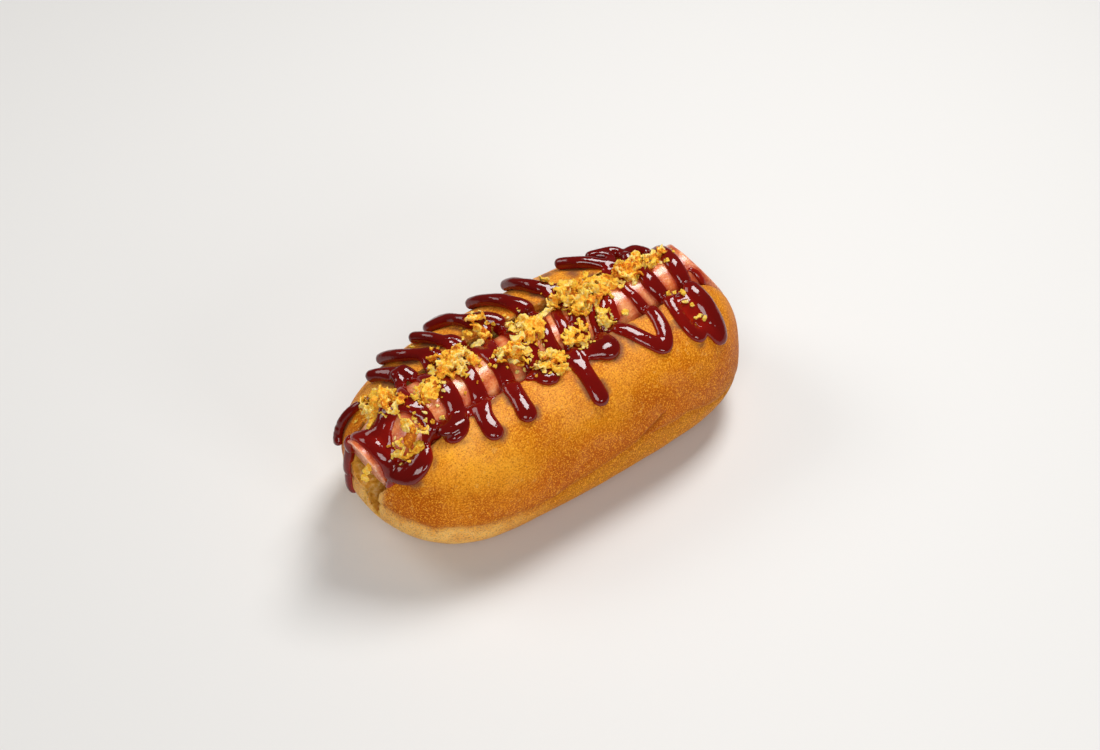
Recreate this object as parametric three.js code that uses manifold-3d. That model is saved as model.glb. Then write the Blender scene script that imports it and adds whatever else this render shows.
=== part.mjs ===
/*
 * Hot dog: a split milk-bread bun holding a frankfurter, with barbecue sauce zigzagged over
 * both of them and clumps of crisp fried onion on top.
 *
 * Millimetres, +Z up. The origin is the centre of the bun's flat underside and +X runs along
 * the bun. Both ends of the frankfurter are cut on a slant. The -X end is flush with the bun's
 * end and sags a little into the slit; the +X end leans back from the bun's end.
 */
import * as THREE from 'three';
import { ConvexGeometry } from 'three/addons/geometries/ConvexGeometry.js';
import { mergeVertices } from 'three/addons/utils/BufferGeometryUtils.js';
import Module from 'manifold-3d';

const wasm = await Module();
wasm.setup();

// ---------- driving dimensions ----------

const GAP = 0.3; // kept between pieces that touch
const PROBE = 0.05; // step used to read a slope
const WELD = 1e-4; // vertices closer than this are one
const HALVINGS = 30; // of the interval in which an outline is looked for

const BUN = {
  length: 150,
  width: 73.4,
  height: 53.5,
  waist: 17, // level at which the bun is widest
  foot: 0.65, // width of the flat underside, as a share of the widest
  endPower: 4.2, // how blunt the plan outline is at the ends
  sidePower: 2.25, // and at the sides
  domePower: 3.25, // how square the shoulders are
  rimShare: 0.985, // the top is read no further out than this share of the outline
  tuck: 4.5, // the waist is this much higher at the -X end
  tuckFrom: -45,
  around: 40,
  domeRings: 6,
  footRings: 3,
};

// The -Y half's lip stands higher near its +X end.
const RAISED_LIP = { x: 58, y: -14, length: 14, width: 12, height: 6 };

const FRANK = {
  start: -71.7, // where its axis meets the cut ends
  end: 66.8,
  startSlant: 0.45, // each cut leans this far toward -X for its height
  endSlant: 0.6,
  radius: 12.4,
  axisHeight: 43.6,
  yaw: 1, // each end lies this far to one side of the bun's centre line
  tipRadius: 9.6, // the -X end tapers to this
  tipSag: 5.4, // and sinks this far
  tipLength: 16, // over this length
  around: 18,
  rings: [0, 4, 8, 12, 16, 36, 66, 96, 126], // places along it, closest at its taper
};

const SLIT = {
  clearance: 0.35, // between the frankfurter and the crumb
  lipStart: 48, // level at which the walls start to close in over the frankfurter
  lipLean: 0.5,
  lipRound: 1, // above and below the bun's top
  steps: 12,
  arcSteps: 7,
  mouthFloor: 18.5, // the knife cut gapes this low at the bun's ends
  mouthTop: 33,
  mouthHalfWidth: 6.5,
  mouthDepth: 22, // how far in from each end it gapes
  mouthPoint: 1, // half width at its floor
  mouthRoot: 2, // half width at its inner end
  overrun: 5, // how far the cuts run past the bun
};

const BEAD = {
  lift: 0.5, // centre above the surface it lies on
  around: 6,
  step: 11.5, // length of one facet along a line
  caps: 2,
  layPoints: 12, // places at which a line is laid on the surface
};

const SAUCE = {
  line: 2.5, // radius of a single poured line
  finger: 3.5, // radius where two lines run together on the +Y side
  drip: 3.4, // and where they run together and down the -Y side
  fork: 15, // the lines part this far out on the +Y side
};

// The sauce goes back and forth across the bun. Each loop starts at its turn on the +Y side,
// crosses the frankfurter at `over`, runs down the -Y side to its lowest point, and comes back
// across at `back`. Its two lines run together at `merge`.
const LOOPS = [
  { left: [-65, 21], over: -66, right: [-67.5, -15.5], back: -59, merge: -10 },
  { left: [-54, 24], over: -50.5, right: [-51, -19], back: -46, merge: -12 },
  { left: [-47, 27], over: -41, right: [-38, -26.5], back: -34, merge: -13 },
  { left: [-36, 27], over: -29, right: [-26, -27], back: -22.5, merge: -13 },
  { left: [-29, 28], over: -15, right: [-14.5, -21], back: -9, merge: -13 },
  { left: [-10, 30], over: -2.5, right: [0, -32], back: 3.5, merge: -13 },
  { left: [4, 28.5], over: 11.5, right: [11.5, -22.5], back: 20, merge: -13 },
  { left: [23, 26], over: 26, right: [28.5, -27.5], back: 38, merge: -24 },
  { left: [46, 19], over: 45, right: [49, -28.5], back: 53, merge: -24 },
];
const LAST_TURN = [55, 13];

// Thicker places where sauce has run together: from one point to another, with a radius.
const POOL_LIFT = -1.2;
const POOLS = [
  { from: [-61, 3], to: [-73, 4], radius: 4.6 },
  { from: [-63, -4], to: [-73, -3], radius: 4.6 },
  { from: [-71, -4], to: [-67, -13], radius: 4.6 },
  { from: [-60, -13], to: [-67, -16], radius: 5 },
  { from: [26, 25], to: [48, 16], radius: 2.9 },
  { from: [47, -14], to: [52.5, -25], radius: 4 },
  { from: [-1, -15.5], to: [11, -15.5], radius: 3.2 },
];

// One drip hangs down the +Y half of the slit's -X mouth.
const END_DRIP = { y: 8.5, top: 44, bottom: 16, radius: 2.8 };

// Clumps of fried onion: place, half length along X, half width along Y, and height.
const CLUMPS = [
  { at: [-60, 7], size: [4.6, 10, 4.6] },
  { at: [-63, -10.5], size: [7.5, 3.6, 5.4] },
  { at: [-48.5, -2], size: [4, 3.6, 4.4] },
  { at: [-34, 4.5], size: [7, 7.6, 6.4] },
  { at: [-18, 13], size: [4.8, 5.2, 4.6] },
  { at: [-15.5, -4.3], size: [6.6, 3.6, 4.6] },
  { at: [-7.5, -13.2], size: [6.6, 3.8, 5] },
  { at: [-5, 4.5], size: [4.4, 6, 4.8] },
  { at: [16, 4], size: [8.6, 7.4, 8.2] },
  { at: [7.5, -9.8], size: [5, 3.6, 4.4] },
  { at: [18, -7.5], size: [3.4, 3, 4] },
  { at: [38, 4.5], size: [12, 4.8, 5.6] },
];
const CLUMP_DETAIL = 1;
const CLUMP_SUNK = 0.25; // depth below the surface it lies on, as a share of its height
const CLUMP_ROUGHNESS = 0.12; // how uneven a clump's outline is
const CLUMP_WAVES = [5, 6, 7, 3]; // waves of that unevenness, in radians for each radius
const CLUMP_TURN = 2.1; // what sets one clump's waves apart from the next one's

// ---------- the surfaces that everything is laid on ----------

const { abs, cos, sin, exp, sqrt, sign, min, max, PI } = Math;
const halfLength = BUN.length / 2;
const halfWidth = BUN.width / 2;
const domeHeight = BUN.height - BUN.waist;

// Goes smoothly from 0 to 1.
function eased(share) {
  const held = min(1, max(0, share));
  return held * held * (3 - 2 * held);
}

// Share of the widest plan outline that passes through x, y.
function outlineShare(x, y) {
  let low = 0;
  let high = 2;
  for (let i = 0; i < HALVINGS; i += 1) {
    const share = (low + high) / 2;
    const inside = (abs(x) / (share * halfLength)) ** BUN.endPower
      + (abs(y) / (share * halfWidth)) ** BUN.sidePower < 1;
    if (inside) high = share;
    else low = share;
  }
  return high;
}

// Takes a level on the even loaf to the real one, with its tucked end and its raised lip.
function levelAt(x, y, level) {
  const rise = max(0, level - BUN.waist) / domeHeight;
  const lifted = level < BUN.waist ? max(0, level) / BUN.waist : 1 - rise;
  const { x: lipX, y: lipY, length, width, height } = RAISED_LIP;
  const swell = exp(-(((x - lipX) / length) ** 2) - ((y - lipY) / width) ** 2);
  const ease = eased((BUN.tuckFrom - x) / (BUN.tuckFrom + halfLength));
  return level + BUN.tuck * ease * lifted + height * swell * rise;
}

function bunTop(x, y) {
  const share = min(outlineShare(x, y), BUN.rimShare);
  const rise = (1 - share ** BUN.domePower) ** (1 / BUN.domePower);
  return levelAt(x, y, BUN.waist + domeHeight * rise);
}

// Centre and radius of the frankfurter at a place along it.
function frankAt(x) {
  const ease = eased((x - FRANK.start) / FRANK.tipLength);
  const share = (x - FRANK.start) / (FRANK.end - FRANK.start);
  return {
    y: FRANK.yaw * (2 * share - 1),
    z: FRANK.axisHeight - FRANK.tipSag * (1 - ease),
    radius: FRANK.radius - (FRANK.radius - FRANK.tipRadius) * (1 - ease),
  };
}

function frankTop(x, y) {
  const { y: middle, z, radius } = frankAt(x);
  const rise = sqrt(max(0, radius ** 2 - (y - middle) ** 2));
  const inside = x + FRANK.startSlant * rise > FRANK.start && x + FRANK.endSlant * rise < FRANK.end;
  return inside && rise > 0 ? z + rise : 0;
}

const topAt = (x, y) => max(bunTop(x, y), frankTop(x, y));

// A point held above the top surface, measured square to it.
function liftedPoint(x, y, lift) {
  const slopeX = (topAt(x + PROBE, y) - topAt(x - PROBE, y)) / (2 * PROBE);
  const slopeY = (topAt(x, y + PROBE) - topAt(x, y - PROBE)) / (2 * PROBE);
  const normal = new THREE.Vector3(-slopeX, -slopeY, 1).normalize();
  return new THREE.Vector3(x, y, topAt(x, y)).addScaledVector(normal, lift);
}

// ---------- solids ----------

function toSolid(geometry) {
  const bare = geometry.index ? geometry.clone() : geometry;
  bare.deleteAttribute('normal');
  bare.deleteAttribute('uv');
  const merged = mergeVertices(bare, WELD);
  return new wasm.Manifold(new wasm.Mesh({
    numProp: 3,
    vertProperties: new Float32Array(merged.attributes.position.array),
    triVerts: new Uint32Array(merged.index.array),
  }));
}

function toGeometry(solid) {
  const mesh = solid.getMesh();
  const geometry = new THREE.BufferGeometry();
  geometry.setAttribute('position', new THREE.BufferAttribute(new Float32Array(mesh.vertProperties), 3));
  geometry.setIndex(new THREE.BufferAttribute(new Uint32Array(mesh.triVerts), 1));
  geometry.computeVertexNormals();
  return geometry;
}

// Moves every vertex of a geometry by a function of its place.
function reshape(geometry, move) {
  const positions = geometry.attributes.position;
  const point = new THREE.Vector3();
  for (let i = 0; i < positions.count; i += 1) {
    move(point.fromBufferAttribute(positions, i));
    positions.setXYZ(i, point.x, point.y, point.z);
  }
  return geometry;
}

// A cut can leave loose crumbs, so only the largest part is kept.
const mainPart = (solid) => solid.decompose().sort((a, b) => b.volume() - a.volume())[0];

const joined = (solids) => solids.reduce((sum, solid) => sum.add(solid));

// ---------- bun ----------

// The whole bun before it is split, spun as a round loaf and then drawn out to its plan.
function loafSolid(grow) {
  const profile = [new THREE.Vector2(0, -grow)];
  for (let i = 0; i <= BUN.footRings; i += 1) {
    const level = i / BUN.footRings;
    const share = 1 - (1 - BUN.foot) * (1 - level) ** 2;
    profile.push(new THREE.Vector2(share, BUN.waist * level - grow * (1 - level)));
  }
  for (let i = 1; i <= BUN.domeRings; i += 1) {
    const turn = (PI / 2) * (i / BUN.domeRings);
    const share = i === BUN.domeRings ? 0 : cos(turn) ** (2 / BUN.domePower);
    const rise = sin(turn) ** (2 / BUN.domePower);
    profile.push(new THREE.Vector2(share, BUN.waist + (domeHeight + grow) * rise));
  }
  const round = new THREE.LatheGeometry(profile, BUN.around).rotateX(PI / 2);
  return toSolid(reshape(round, (point) => {
    const share = Math.hypot(point.x, point.y);
    if (share > 0) {
      const c = point.x / share;
      const s = point.y / share;
      point.x = sign(c) * abs(c) ** (2 / BUN.endPower) * share * (halfLength + grow);
      point.y = sign(s) * abs(s) ** (2 / BUN.sidePower) * share * (halfWidth + grow);
    }
    point.z = levelAt(point.x, point.y, point.z);
  }));
}

// The channel that the frankfurter lies in, with lips that close in over its shoulders.
function channelSolid(shrink) {
  const radius = FRANK.radius + SLIT.clearance - shrink;
  const lip = radius - SLIT.lipLean;
  const lipBase = BUN.height - SLIT.lipRound;
  const lipTop = BUN.height + SLIT.lipRound;
  const section = new THREE.Shape();
  section.absarc(0, FRANK.axisHeight, radius, PI, 2 * PI);
  section.lineTo(radius, SLIT.lipStart);
  section.quadraticCurveTo(radius, lipBase, lip, lipTop);
  section.lineTo(lip, BUN.height + FRANK.radius);
  section.lineTo(-lip, BUN.height + FRANK.radius);
  section.lineTo(-lip, lipTop);
  section.quadraticCurveTo(-radius, lipBase, -radius, SLIT.lipStart);
  const depth = BUN.length + 2 * SLIT.overrun;
  const channel = new THREE.ExtrudeGeometry(section, {
    depth, steps: SLIT.steps, bevelEnabled: false, curveSegments: SLIT.arcSteps,
  });
  channel.translate(0, 0, -depth / 2).rotateX(PI / 2).rotateZ(PI / 2);
  return toSolid(reshape(channel, (point) => {
    const frank = frankAt(point.x);
    point.y += frank.y;
    point.z += frank.z - FRANK.axisHeight;
  }));
}

// The knife cut gapes in a wedge below the frankfurter at each end of the bun.
function mouthSolid(end) {
  const outer = end * (halfLength + SLIT.overrun);
  const inner = end * (halfLength - SLIT.mouthDepth);
  const middle = frankAt(outer).y;
  const corners = [
    [outer, middle - SLIT.mouthHalfWidth, SLIT.mouthTop],
    [outer, middle + SLIT.mouthHalfWidth, SLIT.mouthTop],
    [outer, middle - SLIT.mouthPoint, SLIT.mouthFloor],
    [outer, middle + SLIT.mouthPoint, SLIT.mouthFloor],
    [inner, middle - SLIT.mouthRoot, SLIT.mouthTop],
    [inner, middle + SLIT.mouthRoot, SLIT.mouthTop],
  ];
  return toSolid(new ConvexGeometry(corners.map((corner) => new THREE.Vector3(...corner))));
}

function bunSolid(grow) {
  return loafSolid(grow).subtract(channelSolid(grow)).subtract(mouthSolid(-1)).subtract(mouthSolid(1));
}

// ---------- frankfurter ----------

// Cuts a solid at the slanted plane through the frankfurter's axis at x, and keeps the side
// toward the middle.
function slantCut(solid, x, slant, grow) {
  const inward = new THREE.Vector3(1, 0, slant).normalize().multiplyScalar(-sign(x));
  const offset = inward.dot(new THREE.Vector3(x, 0, frankAt(x).z)) - grow;
  return solid.trimByPlane(inward.toArray(), offset);
}

function frankSolid(grow) {
  const profile = [-FRANK.radius, ...FRANK.rings, FRANK.end - FRANK.start + FRANK.radius]
    .map((along) => new THREE.Vector2(1, FRANK.start + along));
  profile.unshift(new THREE.Vector2(0, profile[0].y));
  profile.push(new THREE.Vector2(0, profile[profile.length - 1].y));
  const straight = new THREE.LatheGeometry(profile, FRANK.around).rotateZ(-PI / 2);
  const whole = toSolid(reshape(straight, (point) => {
    const frank = frankAt(point.x);
    point.y = frank.y + point.y * (frank.radius + grow);
    point.z = frank.z + point.z * (frank.radius + grow);
  }));
  const started = slantCut(whole, FRANK.start, FRANK.startSlant, grow);
  return slantCut(started, FRANK.end, FRANK.endSlant, grow);
}

// ---------- sauce ----------

// A round-ended bead along a path, whose radius goes evenly from one end's to the other's.
function beadSolid(path, startRadius, endRadius, caps) {
  const steps = max(1, Math.round(path.getLength() / BEAD.step));
  const bead = new THREE.CapsuleGeometry(1, 2, caps, BEAD.around, steps);
  return toSolid(reshape(bead, (point) => {
    const core = min(1, max(-1, point.y));
    const share = (core + 1) / 2;
    const radius = startRadius + (endRadius - startRadius) * share;
    const along = path.getTangentAt(share);
    const side = new THREE.Vector3(0, 0, 1).cross(along).normalize();
    const up = along.clone().cross(side);
    const { x, y, z } = point;
    point.copy(path.getPointAt(share)).addScaledVector(along, (y - core) * radius);
    point.addScaledVector(side, -x * radius).addScaledVector(up, z * radius);
  }));
}

// A smooth line through plan points, laid on top of the bun and the frankfurter.
function laidPath(planPoints, lift = BEAD.lift) {
  const plan = new THREE.CatmullRomCurve3(planPoints.map(([x, y]) => new THREE.Vector3(x, y, 0)));
  const laid = plan.getPoints(BEAD.layPoints).map(({ x, y }) => liftedPoint(x, y, lift));
  return new THREE.CatmullRomCurve3(laid);
}

// The end of the bun at a height, across the slit's +Y half.
function endPoint(z) {
  const level = max(0, z - BUN.waist) / domeHeight;
  const scale = (1 - level ** BUN.domePower) ** (1 / BUN.domePower);
  const across = (END_DRIP.y / (halfWidth * scale)) ** BUN.sidePower;
  const reach = halfLength * scale * (1 - across) ** (1 / BUN.endPower);
  return new THREE.Vector3(-reach - BEAD.lift, END_DRIP.y, z);
}

function sauceSolid(grow) {
  const line = SAUCE.line + grow;
  const finger = SAUCE.finger + grow;
  const drip = SAUCE.drip + grow;
  const beads = [];
  const turns = [...LOOPS.map(({ left }) => left), LAST_TURN];
  // Where the two lines of each +Y turn part.
  const forks = turns.map(([x, y], i) => {
    const near = LOOPS[max(0, i - 1)].back;
    const far = LOOPS[min(i, LOOPS.length - 1)].over;
    const share = max(0, (y - SAUCE.fork) / y);
    return [x + ((near + far) / 2 - x) * share, min(SAUCE.fork, y - 1)];
  });
  LOOPS.forEach(({ left, over, right, back, merge }, i) => {
    const join = [right[0] + ((over + back) / 2 - right[0]) * (1 - merge / right[1]), merge];
    beads.push(beadSolid(laidPath([left, forks[i]]), finger, finger, BEAD.caps));
    beads.push(beadSolid(laidPath([forks[i], [over, 0], join]), line, line, 1));
    beads.push(beadSolid(laidPath([join, right]), finger, drip, BEAD.caps));
    beads.push(beadSolid(laidPath([join, [back, 0], forks[i + 1]]), line, line, 1));
  });
  for (const { from, to, radius } of POOLS) {
    beads.push(beadSolid(laidPath([from, to], POOL_LIFT), radius + grow, radius + grow, BEAD.caps));
  }
  const fall = [0, 0.25, 0.5, 0.75, 1].map((share) => (
    endPoint(END_DRIP.top + (END_DRIP.bottom - END_DRIP.top) * share)
  ));
  const endRadius = END_DRIP.radius + grow;
  beads.push(beadSolid(new THREE.CatmullRomCurve3(fall), endRadius, endRadius, BEAD.caps));
  return joined(beads);
}

// ---------- fried onion ----------

function clumpSolid({ at, size }, index, grow) {
  const [x0, y0] = at;
  const [alongX, alongY, height] = size.map((extent) => extent + grow);
  const ball = new THREE.IcosahedronGeometry(1, CLUMP_DETAIL);
  const [a, b, c, d] = CLUMP_WAVES;
  const turn = CLUMP_TURN * index;
  return toSolid(reshape(ball, (point) => {
    const { x: u, y: v, z: w } = point;
    const wave = sin(a * u + turn) * sin(b * v + index) + sin(c * w + d * u + index);
    point.multiplyScalar(1 + CLUMP_ROUGHNESS * wave);
    const x = x0 + point.x * alongX;
    const y = y0 + point.y * alongY;
    point.set(x, y, topAt(x, y) + point.z * height * (point.z > 0 ? 1 : CLUMP_SUNK));
  }));
}

// ---------- the hot dog ----------

const hotDog = new THREE.Group();

function addPiece(name, solid, color, roughness) {
  const material = new THREE.MeshStandardMaterial({ color, roughness, metalness: 0 });
  const piece = new THREE.Mesh(toGeometry(solid), material);
  piece.name = name;
  hotDog.add(piece);
}

const grownBase = bunSolid(GAP).add(frankSolid(GAP));

addPiece('bun', bunSolid(0), 0xd78a2e, 0.55);
addPiece('frankfurter', frankSolid(0), 0xc4623c, 0.35);
addPiece('sauce', mainPart(sauceSolid(0).subtract(grownBase)), 0x5a0a08, 0.12);

let cover = grownBase.add(sauceSolid(GAP));
CLUMPS.forEach((clump, index) => {
  const number = String(index + 1).padStart(2, '0');
  const solid = mainPart(clumpSolid(clump, index, 0).subtract(cover));
  addPiece(`onion_clump_${number}`, solid, 0xe4b03c, 0.8);
  cover = cover.add(clumpSolid(clump, index, GAP));
});

export default hotDog;
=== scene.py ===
import math
import random

import bmesh
import bpy
from mathutils import Matrix, Vector, noise
from mathutils.bvhtree import BVHTree
from mathutils.kdtree import KDTree

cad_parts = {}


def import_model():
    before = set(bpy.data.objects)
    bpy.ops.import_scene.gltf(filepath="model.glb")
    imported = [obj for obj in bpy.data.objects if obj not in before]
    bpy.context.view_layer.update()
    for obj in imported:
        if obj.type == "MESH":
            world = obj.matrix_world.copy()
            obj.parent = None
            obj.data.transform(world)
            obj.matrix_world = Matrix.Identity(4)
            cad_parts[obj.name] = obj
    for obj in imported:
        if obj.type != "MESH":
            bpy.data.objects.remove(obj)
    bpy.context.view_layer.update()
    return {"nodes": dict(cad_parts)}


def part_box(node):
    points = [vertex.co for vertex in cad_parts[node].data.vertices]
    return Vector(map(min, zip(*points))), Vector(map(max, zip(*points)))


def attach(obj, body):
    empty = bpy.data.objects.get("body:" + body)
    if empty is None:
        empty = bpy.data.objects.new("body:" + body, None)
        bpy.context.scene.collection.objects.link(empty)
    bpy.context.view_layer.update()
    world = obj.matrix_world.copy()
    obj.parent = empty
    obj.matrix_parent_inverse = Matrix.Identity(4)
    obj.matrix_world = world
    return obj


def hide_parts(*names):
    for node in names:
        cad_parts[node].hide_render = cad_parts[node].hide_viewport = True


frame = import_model()


# ---------- the bun ----------
# A milk-bread bun with a thin golden crust, pale round the foot, where it stood on the baking sheet; the
# foot's colour also holds painted light bounced up from the table. It is split from above and through
# both ends, and the frankfurter keeps the split open.
# The origin is the centre of its flat underside.

MM = 0.001
bun_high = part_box("bun")[1]
half_length = bun_high.x
half_width = bun_high.y
crown = 53.5 * MM  # the split takes off the very top
waist = 17 * MM  # level at which it is widest
foot_share = 0.65  # width of the flat underside, as a share of the widest
end_power = 4.2  # how blunt the plan outline is at the ends
side_power = 2.25  # and at the sides
dome_power = 3.25  # how square the shoulders are
tuck = 4.5 * MM  # the waist is this much higher at the near end
tuck_start = -45 * MM
raised_lip = Vector((58, -14)) * MM  # one half of the split bun stands higher there
lip_spread = Vector((14, 12)) * MM
lip_rise = 6 * MM

sausage_start = -72.6 * MM  # where its centre line meets the cut ends
sausage_end = 66.8 * MM
start_slant = 0.35  # each cut leans this far toward the near end for its height
end_slant = 0.6
sausage_radius = 12.4 * MM
sausage_level = 43.6 * MM
tip_radius = 9.6 * MM  # the end that is flush with the bun tapers to this
tip_sag = 5.4 * MM  # and sinks this far
tip_length = 16 * MM  # over this length
sausage_yaw = 1 * MM  # each end lies this far to one side of the centre line

slit_clearance = 0.35 * MM
lip_start = 46 * MM  # level at which the walls of the split start to close in on the sausage
lip_lean = 0.8 * MM

mouth_floor = 19.5 * MM  # the knife's cut gapes in a wedge at each end, from this level
mouth_top = 33 * MM
mouth_length = 22 * MM
mouth_left = 7 * MM  # one wall stands this far to one side of the sausage's centre line
mouth_lean = 0.2 * MM  # and a little further at its top than at its floor
mouth_right = 5.4 * MM  # the other wall starts on that side too
mouth_flare = 7.9 * MM  # and has crossed over by this much at its top


def smooth_step(low, high, value):
    share = min(1, max(0, (value - low) / (high - low)))
    return share * share * (3 - 2 * share)


def sausage_at(x):
    """Where the sausage's centre line passes, and its radius there."""
    ease = smooth_step(sausage_start, sausage_start + tip_length, x)
    share = (x - sausage_start) / (sausage_end - sausage_start)
    y = sausage_yaw * (2 * share - 1)
    z = sausage_level - tip_sag * (1 - ease)
    return y, z, sausage_radius - (sausage_radius - tip_radius) * (1 - ease)


def slit_half_width(x, z):
    """How far each wall of the split stands from the sausage's centre line."""
    centre_z, radius = sausage_at(x)[1:]
    lean = lip_lean * smooth_step(lip_start, crown, z)
    if z >= centre_z:
        return radius + slit_clearance - lean
    return math.sqrt(max(0, (radius + slit_clearance) ** 2 - (centre_z - z) ** 2))


def mesh_from(bm, name):
    mesh = bpy.data.meshes.new(name)
    bm.to_mesh(mesh)
    bm.free()
    return mesh


def piece_from(bm, name):
    piece = bpy.data.objects.new(name, mesh_from(bm, name))
    bpy.context.scene.collection.objects.link(piece)
    return piece


def add_modifier(piece, kind, **settings):
    made = piece.modifiers.new(kind.lower(), kind)
    for key, value in settings.items():
        setattr(made, key, value)


def carry_out(piece):
    """Applies a piece's modifiers to its mesh."""
    graph = bpy.context.evaluated_depsgraph_get()
    piece.data = bpy.data.meshes.new_from_object(piece.evaluated_get(graph))
    piece.modifiers.clear()


def dome_point(plan_x, plan_y, turn):
    """A point of the loaf from a direction in plan and a turn from -90 (foot) to 90 degrees."""
    if turn >= 0:
        share = math.cos(turn) ** (2 / dome_power)
        z = waist + (crown - waist) * math.sin(turn) ** (2 / dome_power)
    else:
        down = -turn / (math.pi / 4)  # the underside starts at 1
        share = 1 - (1 - foot_share) * min(1, down) ** 2
        share *= 1 - max(0, down - 1)
        z = waist * max(0, 1 - down)
    x = math.copysign(abs(plan_x) ** (2 / end_power), plan_x) * share * half_length
    y = math.copysign(abs(plan_y) ** (2 / side_power), plan_y) * share * half_width
    rise = max(0, z - waist) / (crown - waist)
    off_lip = ((x - raised_lip.x) / lip_spread.x) ** 2 + ((y - raised_lip.y) / lip_spread.y) ** 2
    lifted = z / waist if z < waist else 1 - rise
    z += tuck * smooth_step(tuck_start, -half_length, x) * lifted
    z += lip_rise * math.exp(-off_lip) * rise
    return Vector((x, y, z))


def whole_loaf():
    bm = bmesh.new()
    bmesh.ops.create_uvsphere(bm, u_segments=180, v_segments=120, radius=1)
    for vert in bm.verts:
        out = vert.co.xy.length
        turn = math.atan2(vert.co.z, out)
        across = out if out > 1e-6 else 1
        vert.co = dome_point(vert.co.x / across, vert.co.y / across, turn)
    bmesh.ops.remove_doubles(bm, verts=bm.verts, dist=0.01 * MM)
    return piece_from(bm, "split_bun")


def rod(segments, cuts, half=1):
    """A round rod along X, one unit in radius, cut crosswise so that it can bend."""
    bm = bmesh.new()
    turned = Matrix.Rotation(math.pi / 2, 4, "Y")
    bmesh.ops.create_cone(
        bm, cap_ends=True, segments=segments, radius1=1, radius2=1, depth=2 * half, matrix=turned
    )
    lengthways = [edge for edge in bm.edges if edge.calc_length() > 1.5]
    bmesh.ops.subdivide_edges(bm, edges=lengthways, cuts=cuts)
    return bm


def split_cutter():
    """The room that the sausage takes, opened upwards."""
    overshoot = 6 * MM
    height_above = 24 * MM
    steepness = 1.7  # turns the rod's round upper half into upright walls
    bm = rod(72, 60)
    for vert in bm.verts:
        x = vert.co.x * (half_length + overshoot)
        y, z, radius = sausage_at(x)
        if vert.co.z <= 0:
            radius += slit_clearance
            vert.co = (x, y + vert.co.y * radius, z + vert.co.z * radius)
        else:
            height = z + vert.co.z * height_above
            share = max(-1, min(1, vert.co.y * steepness))
            vert.co = (x, y + share * slit_half_width(x, height), height)
    return piece_from(bm, "split")


def mouth_cutter(end):
    """The knife's wedge below the sausage at one end, -1 or 1. It narrows toward the middle."""
    outer = end * (half_length + 3 * MM)
    inner = end * (half_length - mouth_length)
    middle = sausage_at(outer)[0]
    bm = bmesh.new()
    for x, y, z in (
        (outer, -mouth_left - mouth_lean, mouth_top), (outer, mouth_flare - mouth_right, mouth_top),
        (outer, -mouth_left + mouth_lean, mouth_floor), (outer, -mouth_right, mouth_floor),
        (inner, -3 * MM, mouth_top), (inner, 1 * MM, mouth_top),
    ):
        bm.verts.new((x, middle + y, z))
    bmesh.ops.convex_hull(bm, input=bm.verts)
    bmesh.ops.recalc_face_normals(bm, faces=bm.faces)
    return piece_from(bm, "mouth")


bun = whole_loaf()
for cutter in (split_cutter(), mouth_cutter(-1), mouth_cutter(1)):
    add_modifier(bun, "BOOLEAN", object=cutter, operation="DIFFERENCE", solver="EXACT")
    carry_out(bun)
    bpy.data.objects.remove(cutter)
add_modifier(bun, "REMESH", mode="VOXEL", voxel_size=0.75 * MM)
add_modifier(bun, "SMOOTH", factor=0.5, iterations=4)
carry_out(bun)

# A crease runs round the bun above its undercut foot: places along the bun and levels, in mm.
crease_levels = [
    (-75, 25.5), (-62, 21.8), (-48, 19.6), (-30, 18), (-8, 20), (14, 23), (32, 22), (50, 17.5), (75, 16),
]
crease_depth = 0.7 * MM
crease_width = 0.8 * MM
foot_step = 0.35 * MM  # below the crease, the foot lies this much further in
dent_start = Vector((14, -36.2, 24.4)) * MM
dent_end = Vector((23, -35.8, 28.8)) * MM
dent_size = 1.1 * MM  # both its depth and how far it spreads
crumb_floor = 18.5 * MM  # the split bares no crumb below this level
underside = 0.5 * MM  # what lies lower is flat


def ripple(point, size, depth, shift=0):
    """Smooth unevenness of a given size, from nothing to depth."""
    return depth * (0.5 + 0.5 * noise.noise(point / size + Vector((shift, 0, 0))))


def bell(off, width):
    return math.exp(-(off / width) ** 2)


def dent_depth(point):
    along = dent_end - dent_start
    share = min(1, max(0, (point - dent_start).dot(along) / along.length_squared))
    return dent_size * bell((point - dent_start - along * share).length, dent_size)


def crease_at(point):
    """The crease's level there."""
    x = point.x / MM
    level = crease_levels[0][1]
    for (x0, z0), (x1, z1) in zip(crease_levels, crease_levels[1:]):
        level += (z1 - z0) * smooth_step(x0, x1, x)
    return level * MM + ripple(point, size=6 * MM, depth=1 * MM, shift=9)


def past_mouth(point, side):
    """How far a point lies outside the nearer wall of a mouth. It is negative inside."""
    share = (point.z - mouth_floor) / (mouth_top - mouth_floor)
    return max(-mouth_left - side, side + mouth_right - mouth_flare * share)


def crumb_share(point, side):
    """1 where the split and its mouths lay the soft crumb open, and 0 on the crust."""
    beyond = abs(side) - slit_half_width(point.x, point.z)
    if point.z < mouth_top:
        beyond = min(beyond, past_mouth(point, side))
    return smooth_step(0.9 * MM, 0.2 * MM, beyond) if point.z > crumb_floor else 0


def pale_share(point, side, above):
    """1 where the crust is pale: below the crease, partly from the bake and partly as painted light
    bounced up from the table, and in a rim round the near mouth.
    """
    rim = smooth_step(-60 * MM, -66 * MM, point.x) * smooth_step(40 * MM, 32 * MM, point.z)
    if side > 0:
        rim *= smooth_step(9 * MM, 3 * MM, past_mouth(point, side))
    else:
        rim *= smooth_step(4.4 * MM, 1.4 * MM, past_mouth(point, side))
    faded = above + ripple(point, size=3.5 * MM, depth=2.6 * MM, shift=7) - 1.3 * MM
    return max(rim, smooth_step(2.8 * MM, -2.4 * MM, faded))


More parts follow.
